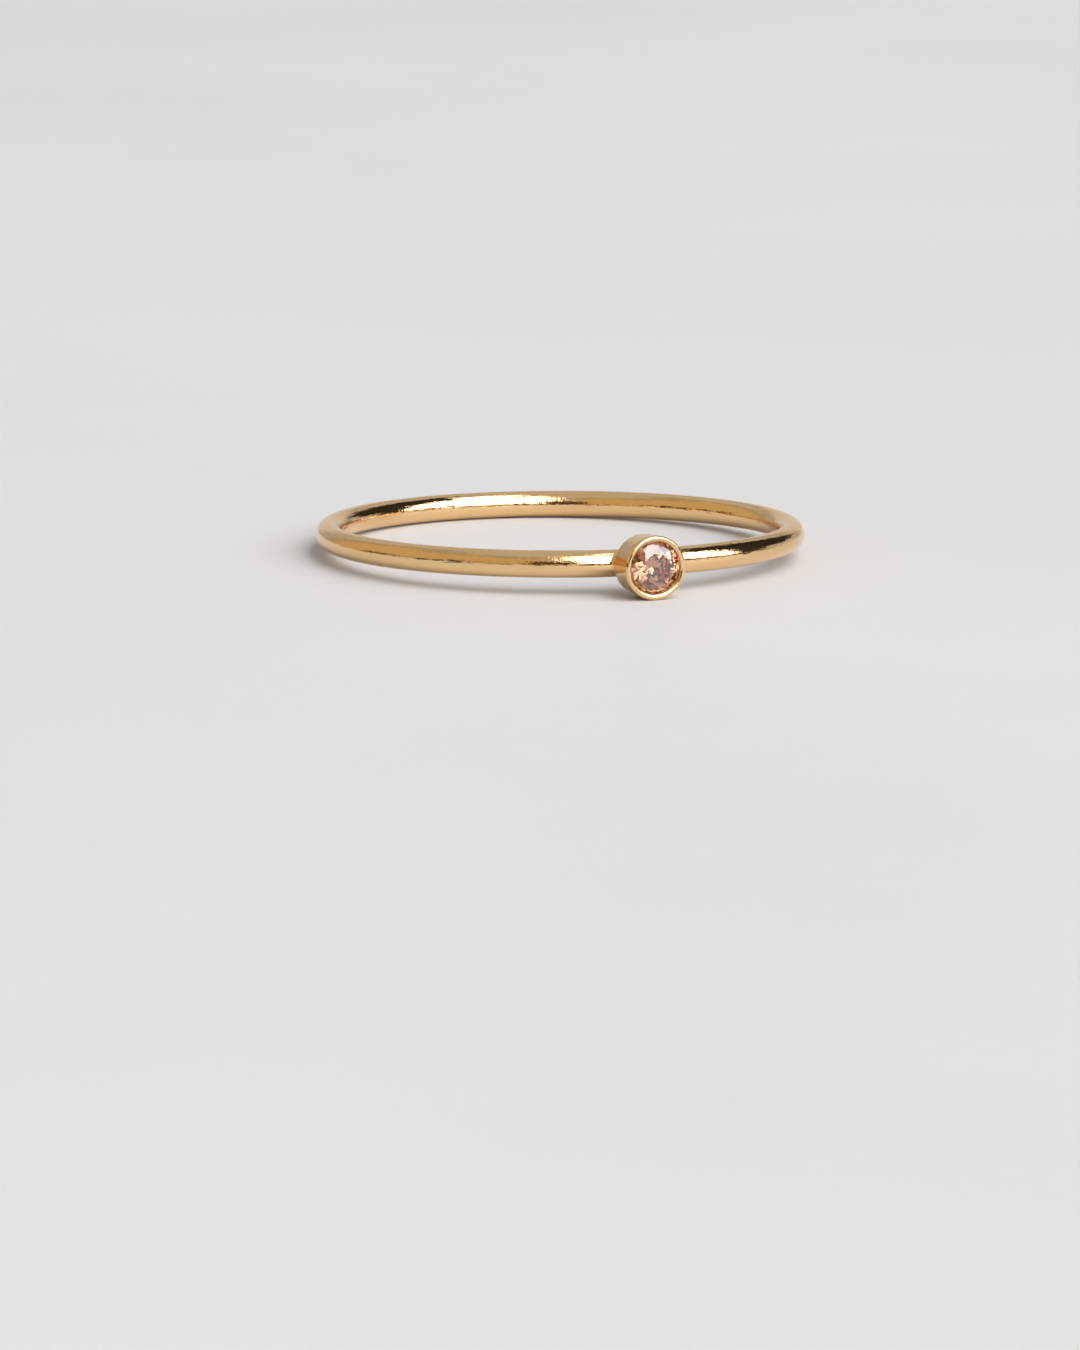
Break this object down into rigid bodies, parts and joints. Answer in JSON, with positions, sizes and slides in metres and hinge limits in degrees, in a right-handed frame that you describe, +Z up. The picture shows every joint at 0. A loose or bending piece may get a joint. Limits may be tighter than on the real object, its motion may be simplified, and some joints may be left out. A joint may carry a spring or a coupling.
{
  "type": "stackable ring",
  "caption": "Slim stackable ring of round polished gold wire, with a round brilliant stone in a slightly tapered bezel cup soldered to its front, lying on its side.",
  "frame": {"origin": "bottom centre of the bounding box, on the surface that the ring lies on", "axes": "+Z up from the surface, -Y towards the stone, +Y towards the back of the band, +X to the right as seen from in front of the stone"},
  "size_m": [0.0186, 0.02, 0.0024],
  "materials": {
    "gold": "polished, gold filled, with a fine drawn grain",
    "stone": "clear champagne, polished facets"
  },
  "bodies": {
    "root": {"ring_band_and_bezel": "gold", "stone": "stone"}
  },
  "joints": []
}
